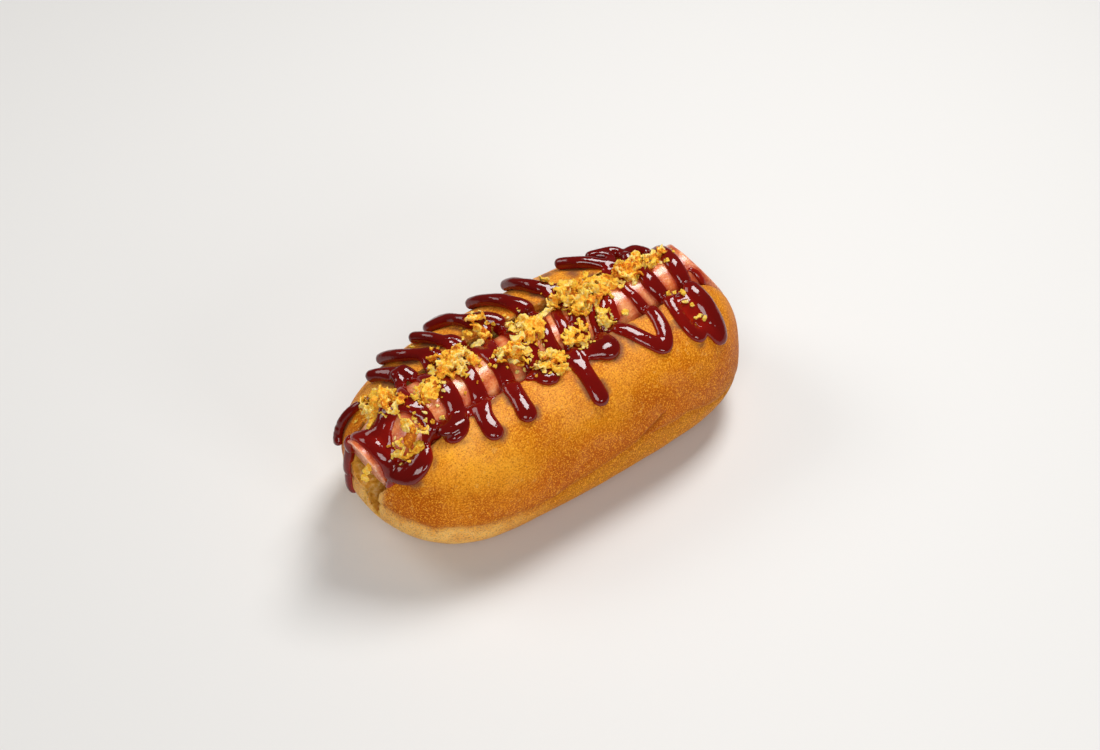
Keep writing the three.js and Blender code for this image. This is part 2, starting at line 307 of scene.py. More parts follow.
def recess_shade_at(point, side, above):
    """How much painted shade darkens the crust in the crease, in the dent and deep in a mouth."""
    deep = smooth_step(0, -1.4 * MM, past_mouth(point, side))
    deep *= smooth_step(36 * MM, 31 * MM, point.z)
    if point.x < 0:
        deep *= smooth_step(1.5 * MM, -3.5 * MM, side)
    in_crease = 0.26 * bell(above - 1.2 * MM, 1.6 * MM)
    in_dent = dent_depth(point) / (1.3 * MM)
    return max(in_crease, in_dent, 0.7 * deep)


def inward_at(point, above, bare):
    """How far the real surface lies inside the plain one."""
    inward = ripple(point, size=30 * MM, depth=0.9 * MM)
    inward += ripple(point, size=9 * MM, depth=0.3 * MM, shift=5)
    inward += crease_depth * bell(above, crease_width)
    inward += foot_step * smooth_step(0.4 * MM, -0.8 * MM, above)
    inward += dent_depth(point)
    return inward + bare * ripple(point, size=1.8 * MM, depth=0.8 * MM, shift=3)


def record(piece, name, values):
    """Keeps a number for each vertex, for a material to read."""
    attribute = piece.data.attributes.new(name, "FLOAT", "POINT")
    attribute.data.foreach_set("value", values)


crumb = []
pale = []
recess_shade = []
bm = bmesh.new()
bm.from_mesh(bun.data)
bm.normal_update()
for vert in bm.verts:
    point = vert.co.copy()
    side = point.y - sausage_at(point.x)[0]
    above = point.z - crease_at(point)
    bare = crumb_share(point, side)
    crumb.append(bare)
    pale.append(pale_share(point, side, above))
    recess_shade.append(recess_shade_at(point, side, above))
    if point.z >= underside:
        vert.co = point - vert.normal * inward_at(point, above, bare)
bm.to_mesh(bun.data)
bm.free()
bun.data.shade_smooth()
record(bun, "crumb", crumb)
record(bun, "pale", pale)
# Painted shade in the crease, the dent and deep in the mouths.
record(bun, "recess_shade", recess_shade)


def srgb(red, green, blue):
    """A colour as the eye reads it, 0 to 255, in the numbers that a shader takes."""
    shares = [value / 255 for value in (red, green, blue)]
    linear = [s / 12.92 if s <= 0.04045 else ((s + 0.055) / 1.055) ** 2.4 for s in shares]
    return (*linear, 1)


def wire(tree, kind, inputs, **settings):
    """A node with its settings, each input set to a value or joined to a socket."""
    made = tree.nodes.new("ShaderNode" + kind)
    for key, value in settings.items():
        setattr(made, key, value)
    for key, value in inputs.items():
        if isinstance(value, bpy.types.NodeSocket):
            tree.links.new(value, made.inputs[key])
        else:
            made.inputs[key].default_value = value
    return made


def ramp(tree, factor, stops):
    """A colour that goes through the stops, each a place from 0 to 1 and a colour."""
    made = wire(tree, "ValToRGB", {"Fac": factor})
    elements = made.color_ramp.elements
    while len(elements) < len(stops):
        elements.new(1)
    for element, (place, colour) in zip(elements, stops):
        element.position = place
        element.color = colour
    return made.outputs["Color"]


def mixed(tree, factor, first, second):
    return wire(tree, "Mix", {0: factor, 6: first, 7: second}, data_type="RGBA").outputs[2]


def grain(tree, place, size, detail, roughness=0.5, stretch=(1, 1, 1)):
    """Noise of about that size, in metres."""
    turned = wire(tree, "Mapping", {"Vector": place, "Scale": stretch})
    inputs = {"Vector": turned.outputs[0], "Scale": 1 / size, "Detail": detail, "Roughness": roughness}
    return wire(tree, "TexNoise", inputs).outputs["Fac"]


def spread(tree, value, low, high, to_low=0.0, to_high=1.0):
    """A value from low to high, stretched to lie between two others."""
    inputs = {"Value": value, "From Min": low, "From Max": high, "To Min": to_low, "To Max": to_high}
    return wire(tree, "MapRange", inputs, clamp=True).outputs["Result"]


def joined(tree, operation, first, second):
    """Two numbers, added up or multiplied."""
    return wire(tree, "Math", {0: first, 1: second}, operation=operation).outputs[0]


def recorded(tree, name):
    """The number that record() kept under that name."""
    return wire(tree, "Attribute", {}, attribute_name=name).outputs["Fac"]


def new_material(name, **plain):
    """A material, its shader with the plain numbers set, and the place on the piece."""
    material = bpy.data.materials.new(name)
    material.use_nodes = True
    tree = material.node_tree
    tree.nodes.clear()
    output = tree.nodes.new("ShaderNodeOutputMaterial")
    shader = tree.nodes.new("ShaderNodeBsdfPrincipled")
    tree.links.new(shader.outputs[0], output.inputs[0])
    for key, value in plain.items():
        shader.inputs[key.replace("_", " ")].default_value = value
    place = tree.nodes.new("ShaderNodeTexCoord").outputs["Object"]
    return material, tree, shader, place


def bump(tree, shader, *layers):
    """Adds relief to a shader: each layer is a height from 0 to 1, and its depth in metres."""
    normal = None
    for height, depth in layers:
        inputs = {"Height": height, "Distance": depth, "Strength": 1.0}
        if normal is not None:
            inputs["Normal"] = normal
        normal = wire(tree, "Bump", inputs).outputs["Normal"]
    tree.links.new(normal, shader.inputs["Normal"])


def crust_material():
    material, tree, shader, place = new_material(
        "golden_crust",
        Specular_IOR_Level=0.08,
        Subsurface_Weight=0.06,
        Subsurface_Radius=(3 * MM, 1.2 * MM, 0.4 * MM),
        Subsurface_Scale=1.0,
    )
    parts = wire(tree, "SeparateXYZ", {0: place}).outputs
    along = parts["X"]
    wander = spread(tree, grain(tree, place, 24 * MM, 3), 0.25, 0.75, -8 * MM, 8 * MM)
    level = spread(tree, joined(tree, "ADD", parts["Z"], wander), 0, crown)
    # Lighter on the top and at the foot, darkest a little above the waist: partly the bake, partly
    # painted light and shade.
    baked_and_lit = ramp(tree, level, [
        (0.0, srgb(208, 138, 28)),
        (0.34, srgb(196, 106, 10)),
        (0.48, srgb(192, 90, 0)),
        (0.64, srgb(206, 104, 0)),
        (0.8, srgb(226, 138, 10)),
        (1.0, srgb(234, 152, 58)),
    ])
    # Lighter still toward the near end: partly the bake, partly painted light.
    shoulder = ramp(tree, level, [
        (0.34, srgb(214, 128, 30)),
        (0.48, srgb(208, 112, 12)),
        (0.64, srgb(228, 136, 16)),
        (0.8, srgb(252, 170, 42)),
        (1.0, srgb(246, 174, 84)),
    ])
    past_middle = spread(tree, along, -26 * MM, -44 * MM)
    short_of_end = spread(tree, along, -67 * MM, -58 * MM)
    baked_and_lit = mixed(tree, joined(tree, "MULTIPLY", past_middle, short_of_end), baked_and_lit, shoulder)
    patches = spread(tree, grain(tree, place, 15 * MM, 5, 0.62), 0.42, 0.62, 0, 0.7)
    baked_and_lit = mixed(tree, patches, baked_and_lit, srgb(188, 90, 0))
    blush = spread(tree, grain(tree, place, 9 * MM, 4, 0.6), 0.5, 0.7, 0, 0.45)
    baked_and_lit = mixed(tree, blush, baked_and_lit, srgb(212, 128, 60))
    freckles = spread(tree, grain(tree, place, 2.6 * MM, 2), 0.64, 0.74, 0, 0.45)
    baked_and_lit = mixed(tree, freckles, baked_and_lit, srgb(244, 184, 92))

    # The foot's pale colour: partly the bake, partly painted light bounced up from the table.
    foot = mixed(tree, spread(tree, along, -22 * MM, -55 * MM), srgb(200, 126, 20), srgb(252, 204, 120))
    faint = spread(tree, grain(tree, place, 5 * MM, 4, 0.7), 0.35, 0.6, 0.45, 0.95)
    baked_and_lit = mixed(tree, joined(tree, "MULTIPLY", recorded(tree, "pale"), faint), baked_and_lit, foot)
    fine = grain(tree, place, 0.54 * MM, 3, 0.7)
    baked_and_lit = mixed(tree, spread(tree, fine, 0.52, 0.64, 0, 0.95), baked_and_lit, srgb(250, 176, 52))
    baked_and_lit = mixed(tree, spread(tree, fine, 0.5, 0.32, 0, 0.7), baked_and_lit, srgb(146, 62, 0))
    # Darker in patches beside the sauce lines and round a few more places.
    baked_and_lit = mixed(tree, recorded(tree, "beside_sauce"), baked_and_lit, srgb(112, 70, 58))

    inside = recorded(tree, "crumb")
    soft = ramp(tree, grain(tree, place, 1.6 * MM, 4, 0.6), [
        (0.3, srgb(184, 122, 28)),
        (0.5, srgb(226, 168, 66)),
        (0.7, srgb(250, 214, 140)),
    ])
    tone = mixed(tree, inside, baked_and_lit, soft)
    # Painted shade in the crease, the dent and deep in the mouths.
    tone = mixed(tree, recorded(tree, "recess_shade"), tone, srgb(142, 64, 2))
    tree.links.new(tone, shader.inputs["Base Color"])
    sheen = spread(tree, grain(tree, place, 5 * MM, 3), 0.3, 0.7, 0.42, 0.56)
    rough = wire(tree, "Mix", {0: inside, 2: sheen, 3: 0.85}, data_type="FLOAT").outputs[0]
    tree.links.new(rough, shader.inputs["Roughness"])
    bump(tree, shader, (fine, 0.12 * MM), (grain(tree, place, 2.4 * MM, 3), 0.22 * MM))
    return material


bun.data.materials.clear()
bun.data.materials.append(crust_material())
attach(bun, "root")
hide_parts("bun")


# ---------- the frankfurter ----------
# A smoked sausage in a thin, taut casing, grilled until it glistens. Both ends are cut on a slant
# and show the fine pink meat. It lies in the split, and its flush end sags into the bun's mouth.

rim_insets = (0.09, 0.1, 0.12, 0.16, 0.2)  # rings of faces on each cut end, from the rim inwards
rim_bevel = 0.045
skin_gap = 0.34 * MM  # the skin stays this far inside the full radius


def sausage_mesh():
    middle = (sausage_end + sausage_start) / 2
    reach = (sausage_end - middle) / sausage_radius
    bm = rod(96, 150, reach)
    caps = [face for face in bm.faces if len(face.verts) > 4]
    rims = [edge for face in caps for edge in face.edges]
    for thickness in rim_insets:
        made = bmesh.ops.inset_region(bm, faces=caps, thickness=thickness, use_even_offset=True)
        for face in made["faces"]:
            face.material_index = 1
    for face in caps:
        face.material_index = 1
    bmesh.ops.poke(bm, faces=caps)
    made = bmesh.ops.bevel(
        bm, geom=rims, offset=rim_bevel, affect="EDGES", segments=3, profile=0.5, material=-1
    )
    for face in made["faces"]:
        face.material_index = 1
    for vert in bm.verts:
        along = vert.co.x / reach
        around = Vector((0, vert.co.y, vert.co.z))
        off = around.length
        x = middle + vert.co.x * sausage_radius
        slant = start_slant * smooth_step(-0.5, -1, along) + end_slant * smooth_step(0.5, 1, along)
        x -= slant * around.z * sausage_at(x)[2]
        y, z, radius = sausage_at(x)
        folds = noise.noise(Vector((x / (14 * MM), *(around.yz * 3)))) * 0.25 * MM
        wrinkles = noise.noise(Vector((x / (2.6 * MM), *(around.yz * 5)))) * 0.08 * MM
        wrinkles *= smooth_step(-56 * MM, -62 * MM, x)
        radius -= (skin_gap + folds + wrinkles) * smooth_step(0.8, 1, off)
        hollow = ripple(Vector((0, *around.yz)), size=0.2, depth=0.8 * MM) * smooth_step(0.94, 0.8, off)
        x -= math.copysign(hollow, along) * smooth_step(0.98, 1, abs(along))
        vert.co = Vector((x, y, z)) + around * radius
    return piece_from(bm, "smoked_sausage")


def casing_material():
    material, tree, shader, place = new_material(
        "smoked_casing",
        Roughness=0.3,
        Subsurface_Weight=0.06,
        Subsurface_Radius=(3 * MM, 1 * MM, 0.5 * MM),
        Subsurface_Scale=1.0,
        Coat_Weight=0.6,
        Coat_Roughness=0.2,
    )
    skin = ramp(tree, grain(tree, place, 5 * MM, 4, 0.6, (0.5, 1, 1)), [
        (0.30, srgb(200, 86, 34)),
        (0.46, srgb(230, 126, 66)),
        (0.62, srgb(246, 170, 112)),
    ])
    fine = grain(tree, place, 0.7 * MM, 3, 0.6)
    skin = mixed(tree, spread(tree, fine, 0.55, 0.72, 0, 0.5), skin, srgb(254, 212, 156))
    skin = mixed(tree, spread(tree, fine, 0.45, 0.3, 0, 0.5), skin, srgb(150, 36, 6))
    skin = mixed(tree, recorded(tree, "beside_sauce"), skin, srgb(176, 36, 8))
    tree.links.new(skin, shader.inputs["Base Color"])
    bump(tree, shader, (fine, 0.16 * MM), (grain(tree, place, 2.5 * MM, 3, 0.5, (0.4, 1, 1)), 0.3 * MM))
    return material


def meat_material():
    material, tree, shader, place = new_material(
        "cut_meat",
        Roughness=0.42,
        Subsurface_Weight=0.15,
        Subsurface_Radius=(3 * MM, 1.2 * MM, 0.8 * MM),
        Subsurface_Scale=1.0,
    )
    fibres = grain(tree, place, 0.9 * MM, 4, 0.65, (1, 0.35, 1))
    meat = ramp(tree, fibres, [
        (0.32, srgb(206, 114, 80)),
        (0.5, srgb(236, 160, 122)),
        (0.68, srgb(250, 204, 170)),
    ])
    meat = mixed(tree, recorded(tree, "beside_sauce"), meat, srgb(180, 56, 26))
    tree.links.new(meat, shader.inputs["Base Color"])
    bump(tree, shader, (fibres, 0.3 * MM))
    return material


sausage = sausage_mesh()
sausage.data.materials.append(casing_material())
sausage.data.materials.append(meat_material())
sausage.data.shade_smooth()
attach(sausage, "root")
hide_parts("frankfurter")


# ---------- the barbecue sauce ----------
# Thick, glossy red-brown sauce, squeezed from a bottle in one zigzag from the near end to the far
# end. Neighbouring lines run together where they turn, and the turns run down the bun's sides.

UP = Vector((0, 0, 1))
drop_from = 0.2  # a level well above everything
blob_step = 0.7 * MM  # each line is a row of blobs this far apart, run together
bridge = 50.6 * MM  # the sauce spans the crevice beside the sausage at this level
crevice_inner = 9 * MM  # between these distances from the centre line
crevice_outer = 15 * MM
crevice_stop = 24 * MM  # and as far as this from the bun's ends


def tree_of(*pieces):
    """What a ray can hit, made of several pieces."""
    bm = bmesh.new()
    for piece in pieces:
        bm.from_mesh(piece.data)
    made = BVHTree.FromBMesh(bm)
    bm.free()
    return made


def dropped(tree, x, y):
    """Where something let go above x, y comes to lie, and the way that the surface faces."""
    hit, facing = tree.ray_cast(Vector((x, y, drop_from)), -UP)[:2]
    return hit, facing


bread_and_sausage = tree_of(bun, sausage)


def poured_at(x, y):
    """Where sauce lands, and the way that it faces. It doesn't sink into the crevice."""
    hit, facing = dropped(bread_and_sausage, x, y)
    over_crevice = crevice_inner < abs(y) < crevice_outer and abs(x) < half_length - crevice_stop
    if hit.z < bridge and over_crevice:
        hit.z = bridge
        facing = UP
    return hit, facing


def curve_through(points, step):
    """Points close together on a smooth curve through the given ones. Each is a Vector of any size."""
    padded = [points[0] * 2 - points[1], *points, points[-1] * 2 - points[-2]]
    found = []
    for p0, p1, p2, p3 in zip(padded, padded[1:], padded[2:], padded[3:]):
        length = (p2.xy - p1.xy).length
        count = max(1, round(length / step))
        for i in range(count):
            t = i / count
            found.append(0.5 * (
                2 * p1 + (p2 - p0) * t + (2 * p0 - 5 * p1 + 4 * p2 - p3) * t ** 2
                + (3 * p1 - p0 - 3 * p2 + p3) * t ** 3
            ))
    return [*found, points[-1]]


def places_in_mm(line, step):
    """Places close together on the curve through a line that is given in mm."""
    return curve_through([Vector(point) * MM for point in line], step)


bm = bmesh.new()
bmesh.ops.create_icosphere(bm, subdivisions=2, radius=1)
ball = mesh_from(bm, "ball")


def add_blob(bm, centre, facing, half, height):
    """A flattened ball of sauce, as wide as two halves and as high as two heights."""
    turn = facing.to_track_quat("Z", "Y").to_matrix().to_4x4()
    blob = ball.copy()
    blob.transform(Matrix.Translation(centre) @ turn @ Matrix.Diagonal((half, half, height, 1)))
    bm.from_mesh(blob)
    bpy.data.meshes.remove(blob)


# Each line gives places along and across the bun, and half its own width there, in mm.
zigzag = [
    (-69.7, 17.9, 1.9), (-69.1, 18.9, 2), (-67.2, 19.2, 2), (-63, 17.6, 1.9), (-58.5, 15.2, 1.6),
    (-57.5, 11, 1.8), (-59.5, 6, 2.2), (-62.8, 1.2, 2.7), (-67, -0.6, 2.5), (-70.6, 2, 2.4),
    (-71.8, 4.6, 2.4), (-71.8, 0.6, 2.4), (-70.8, -4, 2.8), (-69.6, -8.6, 3), (-67.8, -12.8, 3.7),
    (-65, -16, 4.2), (-60.8, -15.6, 3.9), (-57, -12.8, 2), (-53.8, -9.5, 2.9), (-54.2, -4, 2.7),
    (-55, 1.5, 2.4), (-52, 8, 2.2), (-49, 13.5, 2.3), (-50.2, 18.2, 2.4), (-52.7, 22.6, 2.5),
    (-49.6, 18.8, 2.5), (-46, 14.2, 2.8), (-44.5, 9.7, 2.4), (-44, 3, 2.6), (-43, -4, 3.3),
    (-43.8, -10, 3), (-47.5, -15, 3.7), (-48.6, -16, 3.7), (-45.2, -15, 3.5), (-41.6, -8, 2.4),
    (-40.5, 0, 2.2), (-38.5, 10, 2.2), (-37.5, 16, 2.3), (-41, 20.6, 2.4), (-44.8, 28.3, 2.4),
    (-42.1, 21.8, 2.4), (-38.4, 17.9, 2.4), (-34.3, 14.6, 2.5), (-33, 8, 2.3), (-33.5, 0, 2.4),
    (-33.4, -7, 2.7), (-36, -12.5, 2.4), (-37.6, -18, 3.1), (-37.7, -23, 3.5), (-36.5, -17, 2.8),
    (-33, -11, 2.4), (-32, -4, 2.4), (-30, 6, 2.2), (-27.6, 13, 2.2), (-29.6, 18.5, 2.3),
    (-33.2, 26.3, 2.4), (-31.1, 21.6, 2.4), (-28.5, 17, 2.4), (-25.7, 15.3, 2.4), (-23.5, 8, 2.3),
    (-22.8, 0, 2.5), (-22.5, -7, 2.8), (-24, -12.6, 2.6), (-24.2, -18, 3.1), (-25, -23.6, 3.7),
    (-23.6, -18, 2.9), (-21.5, -10, 2.3), (-20.5, -2, 2.2), (-18, 6, 2.2), (-14.5, 13.5, 2.3),
    (-17.4, 18.5, 2.3), (-19.6, 25, 2.4), (-24.5, 30.6, 2.2), (-21.9, 30.6, 2.3),
    (-19.8, 26.7, 2.4), (-17.7, 20.5, 2.5), (-11, 16.1, 2.9), (-8.8, 12.6, 2.9), (-10, 5, 2.3),
    (-12, -3, 2.3), (-13, -11, 2.4), (-12.2, -15.4, 3.4), (-9.9, -16.4, 3.5), (-9.6, -12, 2),
    (-8, -4, 2.2), (-5.5, 5, 2.2), (-0.5, 12, 2.2), (-1, 16.6, 2.3), (-3.4, 22, 2.4),
    (-6.8, 30.6, 2.4), (-5.2, 26.1, 2.4), (-2.6, 22.3, 2.4), (-0.5, 17.8, 2.7), (2.2, 14.2, 2.8),
    (3, 9, 2.4), (0.5, 2, 2.4), (-2, -5, 2.7), (-1.5, -12, 2.8), (0.2, -18, 3), (0.2, -24, 2.9),
    (0.5, -29.2, 3.4), (1, -22, 2.8), (2.5, -14, 2.7), (4.8, -6, 2.5), (7, 2, 2.2), (12, 10, 2.2),
    (12.4, 15.6, 2.3), (9.6, 20, 2.4), (8, 30.6, 2.4), (8.3, 24.6, 2.4), (10.6, 19.6, 2.5),
    (14.3, 15.5, 2.5), (17.4, 13.2, 2.3), (15, 6, 2.3), (11.4, -3, 2.9), (9, -11, 2.5),
    (6.6, -15.6, 2.8), (10.4, -16.6, 4.4), (12.8, -17.4, 4.6), (14.6, -11, 2), (16.5, -5, 1.8),
    (21, 4, 2), (30, 9, 2), (37.5, 13.4, 2.2), (34.1, 18, 2.4), (29.8, 21.4, 2.5),
    (26.4, 25.2, 2.4), (29.8, 21.4, 2.5), (34.1, 18.1, 2.5), (39.2, 14.6, 2.4), (42.2, 12.8, 2.2),
]
far_loops = [
    (27.5, 10, 1.4), (24, 0, 1.6), (19.5, -8.5, 2.4), (23, -15.5, 3), (27.2, -22.6, 3.1),
    (30.2, -25.2, 3.1), (33, -22.5, 3), (34.9, -17, 2.9), (35.4, -11.5, 2.6), (33.8, -6, 2.2),
    (33, 0, 1.9), (36.5, 9, 1.8), (41.5, 17, 2), (39, 20.5, 2.2), (36.4, 21.7, 2.2),
    (40.3, 20.9, 2.2), (45.5, 18.6, 2.2), (46, 12, 2.2), (43, 4, 2.6), (42, -4, 3.3),
    (43.4, -9.5, 2.7), (42.6, -14, 2.3), (41.9, -19, 2.3), (42.5, -24, 2.6), (44.6, -26.4, 2.8),
    (48, -25.5, 2), (52.2, -27.8, 3), (53.4, -25.6, 3.6), (53, -20, 3.8), (52.5, -14, 3.3),
    (53, -9, 3), (53.2, -3, 3.2), (54.3, 3, 3), (55.5, 9, 2.6), (56, 14, 2.4), (52, 16.8, 2.5),
    (48, 16.8, 2.2),
]
pools = [
    [(-62.8, 1.2, 2.4), (-59, -0.6, 2.4), (-56.4, -3, 2.6), (-54, -7, 2.8)],
    [
        (-55, -11.8, 1.8), (-48, -12.2, 2.4), (-44, -12.4, 1.6), (-38, -12.6, 2.2), (-31, -12.6, 1.5),
        (-27, -12.8, 1.3), (-22, -13, 2.2), (-17, -13.2, 1.6), (-13, -13.6, 2.3), (-8, -14, 1.7),
        (-3, -14, 2.3), (4, -14.6, 2.3), (10, -15.6, 2.6),
    ],
    [(-52, -12.6, 1.5), (-50.6, -14.4, 2.8), (-47, -15.4, 3.4)],
]
films = [
    [(-62, -1.6, 2), (-66, -3.4, 2.6), (-67.6, -7, 2.6), (-66.4, -11, 3), (-64, -13.6, 3)],
    [(46, -11, 2.6), (47, -15, 3.4), (47.8, -20, 3.6), (48.6, -24, 2.6)],
    [(57.6, -6, 1.1), (59.2, -8, 1.6), (60, -10, 1.5)],
    [(24, 5, 1.6), (25.5, -1, 1.7), (24, -8, 1.7)],
]
film_height = 0.75 * MM
# One drip hangs down the near end: places along the bun, levels and places across, in mm.
end_drip = [(-72.4, 43, 9.8), (-74.5, 36, 10), (-75, 28, 9.8), (-75, 20, 9.6), (-74.6, 16.6, 9.4)]
drip_half = 2 * MM
drip_height = 1.9 * MM


def sauce_mesh():
    bm = bmesh.new()
    for line in (zigzag, far_loops, *pools):
        for x, y, half in places_in_mm(line, blob_step):
            spot, facing = poured_at(x, y)
            facing = (facing + UP * 0.4).normalized()
            # On the far flank the lines stand rounder and prouder than on the top.
            rounder = smooth_step(11 * MM, 21 * MM, y)
            lift = (0.08 + 0.75 * rounder) * half
            width = half * (1 - 0.12 * rounder)
            add_blob(bm, spot + facing * lift, facing, width, (0.58 + 0.34 * rounder) * half)
    for line in films:
        for x, y, half in places_in_mm(line, blob_step):
            spot, facing = poured_at(x, y)
            add_blob(bm, spot, facing, half, film_height)
    for x, z, y in places_in_mm(end_drip, blob_step):
        spot, facing = bread_and_sausage.find_nearest(Vector((x, y, z)))[:2]
        add_blob(bm, spot, facing, drip_half, drip_height)
    sauce = piece_from(bm, "poured_sauce")
    add_modifier(sauce, "REMESH", mode="VOXEL", voxel_size=0.5 * MM)
    add_modifier(sauce, "SMOOTH", factor=0.5, iterations=6)
    carry_out(sauce)
    record(sauce, "depth", [bread_and_sausage.find_nearest(vert.co)[3] for vert in sauce.data.vertices])
    sauce.data.shade_smooth()
    return sauce


def sauce_material():
    """Thin sauce lets more light through, so it is redder than thick sauce."""
    material, tree, shader, place = new_material("wet_sauce", Roughness=0.07, IOR=1.46)
    uneven = spread(tree, grain(tree, place, 4 * MM, 3), 0, 1, -0.5 * MM, 0.5 * MM)
    depth = joined(tree, "ADD", recorded(tree, "depth"), uneven)
    tone = ramp(tree, spread(tree, depth, 0.1 * MM, 2.6 * MM), [
        (0.0, srgb(156, 26, 8)),
        (0.3, srgb(128, 12, 4)),
        (0.6, srgb(112, 8, 4)),
        (1.0, srgb(98, 7, 3)),
    ])
    tree.links.new(tone, shader.inputs["Base Color"])
    bump(tree, shader, (grain(tree, place, 3.5 * MM, 2), 0.2 * MM))
    return material


sauce = sauce_mesh()
sauce.data.materials.append(sauce_material())
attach(sauce, "root")
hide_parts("sauce")

# Beside the lines, in patches, the sausage is stained redder and the bun is darker, and both are so
# round a few more places: along and across the bun, in mm.
patch_places = [
    (20.6, 26), (27, 19), (30.5, 13), (3.5, 26.5), (37.4, -12), (31.6, -11.1), (21.9, -19.5),
    (58.5, 4.5), (60.5, -9), (61, 6.5), (62.5, -4),
]
patch_edge = 5.4  # a patch fades out this far from its middle, in mm
patch_middle = 1.6
just_sauce = tree_of(sauce)


def beside_sauce_at(point, reach, start, most):
    """How far a point lies in the patches beside the lines. They reach that far from the lines, where
    noise is over start.
    """
    off = just_sauce.find_nearest(point)[3]
    patch = smooth_step(start, start + 0.28, noise.noise(point / (8 * MM) + Vector((4, 0, 0))))
    patch_share = most * patch * smooth_step(reach, 0.4 * MM, off)
    for x, y in patch_places:
        away = (point.xy / MM - Vector((x, y))).length + ripple(point, size=2 * MM, depth=2.4)
        patch_share = max(patch_share, 0.8 * smooth_step(patch_edge, patch_middle, away))
    return patch_share


for piece, reach, start, most in ((bun, 2.6 * MM, 0.02, 0.75), (sausage, 1.9 * MM, -0.25, 0.8)):
    record(piece, "beside_sauce", [beside_sauce_at(vert.co, reach, start, most) for vert in piece.data.vertices])


# ---------- the fried onion ----------
# Crisp fried onion: ragged, crumpled flakes of deep-fried onion, a few millimetres long, dropped
# on the wet sauce in clumps, with crumbs of it all round.

rng = random.Random(11)
noise.seed_set(3)


def flake_mesh(seed, thickness):
    """A crumpled scrap of skin with ragged edges, one unit in half length."""
    shift = Vector((seed * 7.3, seed * 3.1, seed * 5.7))
    bm = bmesh.new()
    bmesh.ops.create_grid(bm, x_segments=5, y_segments=4, size=1)
    for vert in bm.verts:
        x, y = vert.co.xy
        rim = max(abs(x), abs(y))
        ragged = 1 + 0.5 * noise.noise(Vector((x * 1.9, y * 1.9, 0)) + shift) * rim
        round_off = 1 - 0.25 * (abs(x) * abs(y))
        curl = 0.55 * noise.noise(Vector((x * 0.9, y * 0.9, 2)) + shift)
        crumple = 0.5 * noise.noise(Vector((x * 2.3, y * 2.3, 4)) + shift)
        vert.co = (x * ragged * round_off, y * ragged * round_off * 0.7, curl + crumple)
    made = bmesh.ops.extrude_face_region(bm, geom=bm.faces)
    for vert in (item for item in made["geom"] if isinstance(item, bmesh.types.BMVert)):
        vert.co += Vector((0, 0, thickness)) + noise.noise_vector(vert.co * 2 + shift) * thickness * 0.6
    bmesh.ops.recalc_face_normals(bm, faces=bm.faces)
    return mesh_from(bm, "flake")


thick_flakes = [flake_mesh(seed, 0.26) for seed in range(9)]
thin_flakes = [flake_mesh(seed, 0.13) for seed in range(20, 29)]


def any_angle():
    return rng.uniform(0, 2 * math.pi)


def tipped(sway, upright, lean=0):
    """A way to face, roughly up."""
    return Vector((lean + rng.gauss(0, sway), rng.gauss(0, sway), upright)).normalized()


class Scraps:
    """Flakes gathered into one piece, each with its own shade of brown."""

    def __init__(self):
        self.bm = bmesh.new()
        self.shades = []

    def add(self, shapes, centre, facing, length, shade):
        turn = facing.to_track_quat("Z", "Y").to_matrix().to_4x4()
        turn = turn @ Matrix.Rotation(any_angle(), 4, "Z")
        width = length * rng.uniform(0.7, 1.3)
        height = length * rng.uniform(0.8, 1.3)
        size = Matrix.Diagonal((length, width, height, 1))
        scrap = rng.choice(shapes).copy()
        scrap.transform(Matrix.Translation(centre) @ turn @ size)
        self.bm.from_mesh(scrap)
        self.shades += [shade] * len(scrap.vertices)
        bpy.data.meshes.remove(scrap)

    def piece(self, name):
        piece = piece_from(self.bm, name)
        record(piece, "shade", self.shades)
        return piece


def clump_room(name):
    """The middle of a clump's box, half its size, and its top."""
    low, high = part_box(name)
    return (low + high) / 2, (high - low) / 2, high.z


def round_about(middle, half, angle, off):
    """A place in plan, off times as far from the middle as the clump's edge is."""
    return middle.x + half.x * off * math.cos(angle), middle.y + half.y * off * math.sin(angle)


core_share = 0.5  # the core's width, as a share of its clump's
core_height = 0.28  # and its height
flake_room = 1.1 * MM * MM  # a clump has one flake for this much of half its length times half its width


def add_core(cores, spot, half, peak, ground):
    """The lumpy middle of a clump, which its flakes hide."""
    size = Matrix.Diagonal((half.x * core_share, half.y * core_share, peak * core_height, 1))
    place = Matrix.Translation(spot) @ size
    made = bmesh.ops.create_icosphere(cores, subdivisions=4, radius=1, matrix=place)
    for vert in made["verts"]:
        away = (vert.co - spot).normalized()
        lumps = noise.noise(vert.co / (2.2 * MM)) + 0.5 * noise.noise(vert.co / (0.9 * MM))
        vert.co += away * lumps * 0.8 * MM
        vert.co.z += dropped(ground, vert.co.x, vert.co.y)[0].z - spot.z


def onion_clumps(flakes, names, ground):
    """Covers a small lumpy core with flakes in each clump's place."""
    cores = bmesh.new()
    for name in names:
        middle, half, top = clump_room(name)
        spot = dropped(ground, middle.x, middle.y)[0]
        peak = top - spot.z
        add_core(cores, spot, half, peak, ground)
        for _ in range(round(half.x * half.y / flake_room)):
            angle = any_angle()
            off = 1.2 * rng.uniform(0, 1) ** 0.68
            under = dropped(ground, *round_about(middle, half, angle, off))[0]
            lift = 0.5 * MM + peak * max(0, 1 - off ** 2) * rng.uniform(0.1, 0.7)
            length = rng.uniform(1.2, 2.8) * MM
            flakes.add(thick_flakes, under + UP * lift, tipped(0.8, 0.8), length, rng.random())
    return piece_from(cores, "onion_cores")


def add_strip(flakes, line, length):
    """A row of flakes that hold together, through places in mm."""
    for spot in places_in_mm(line, length * 0.5):
        facing = tipped(0.3, 0.6, lean=-0.7)
        flakes.add(thick_flakes, spot, facing, length * rng.uniform(0.7, 1.1), rng.uniform(0.3, 0.9))


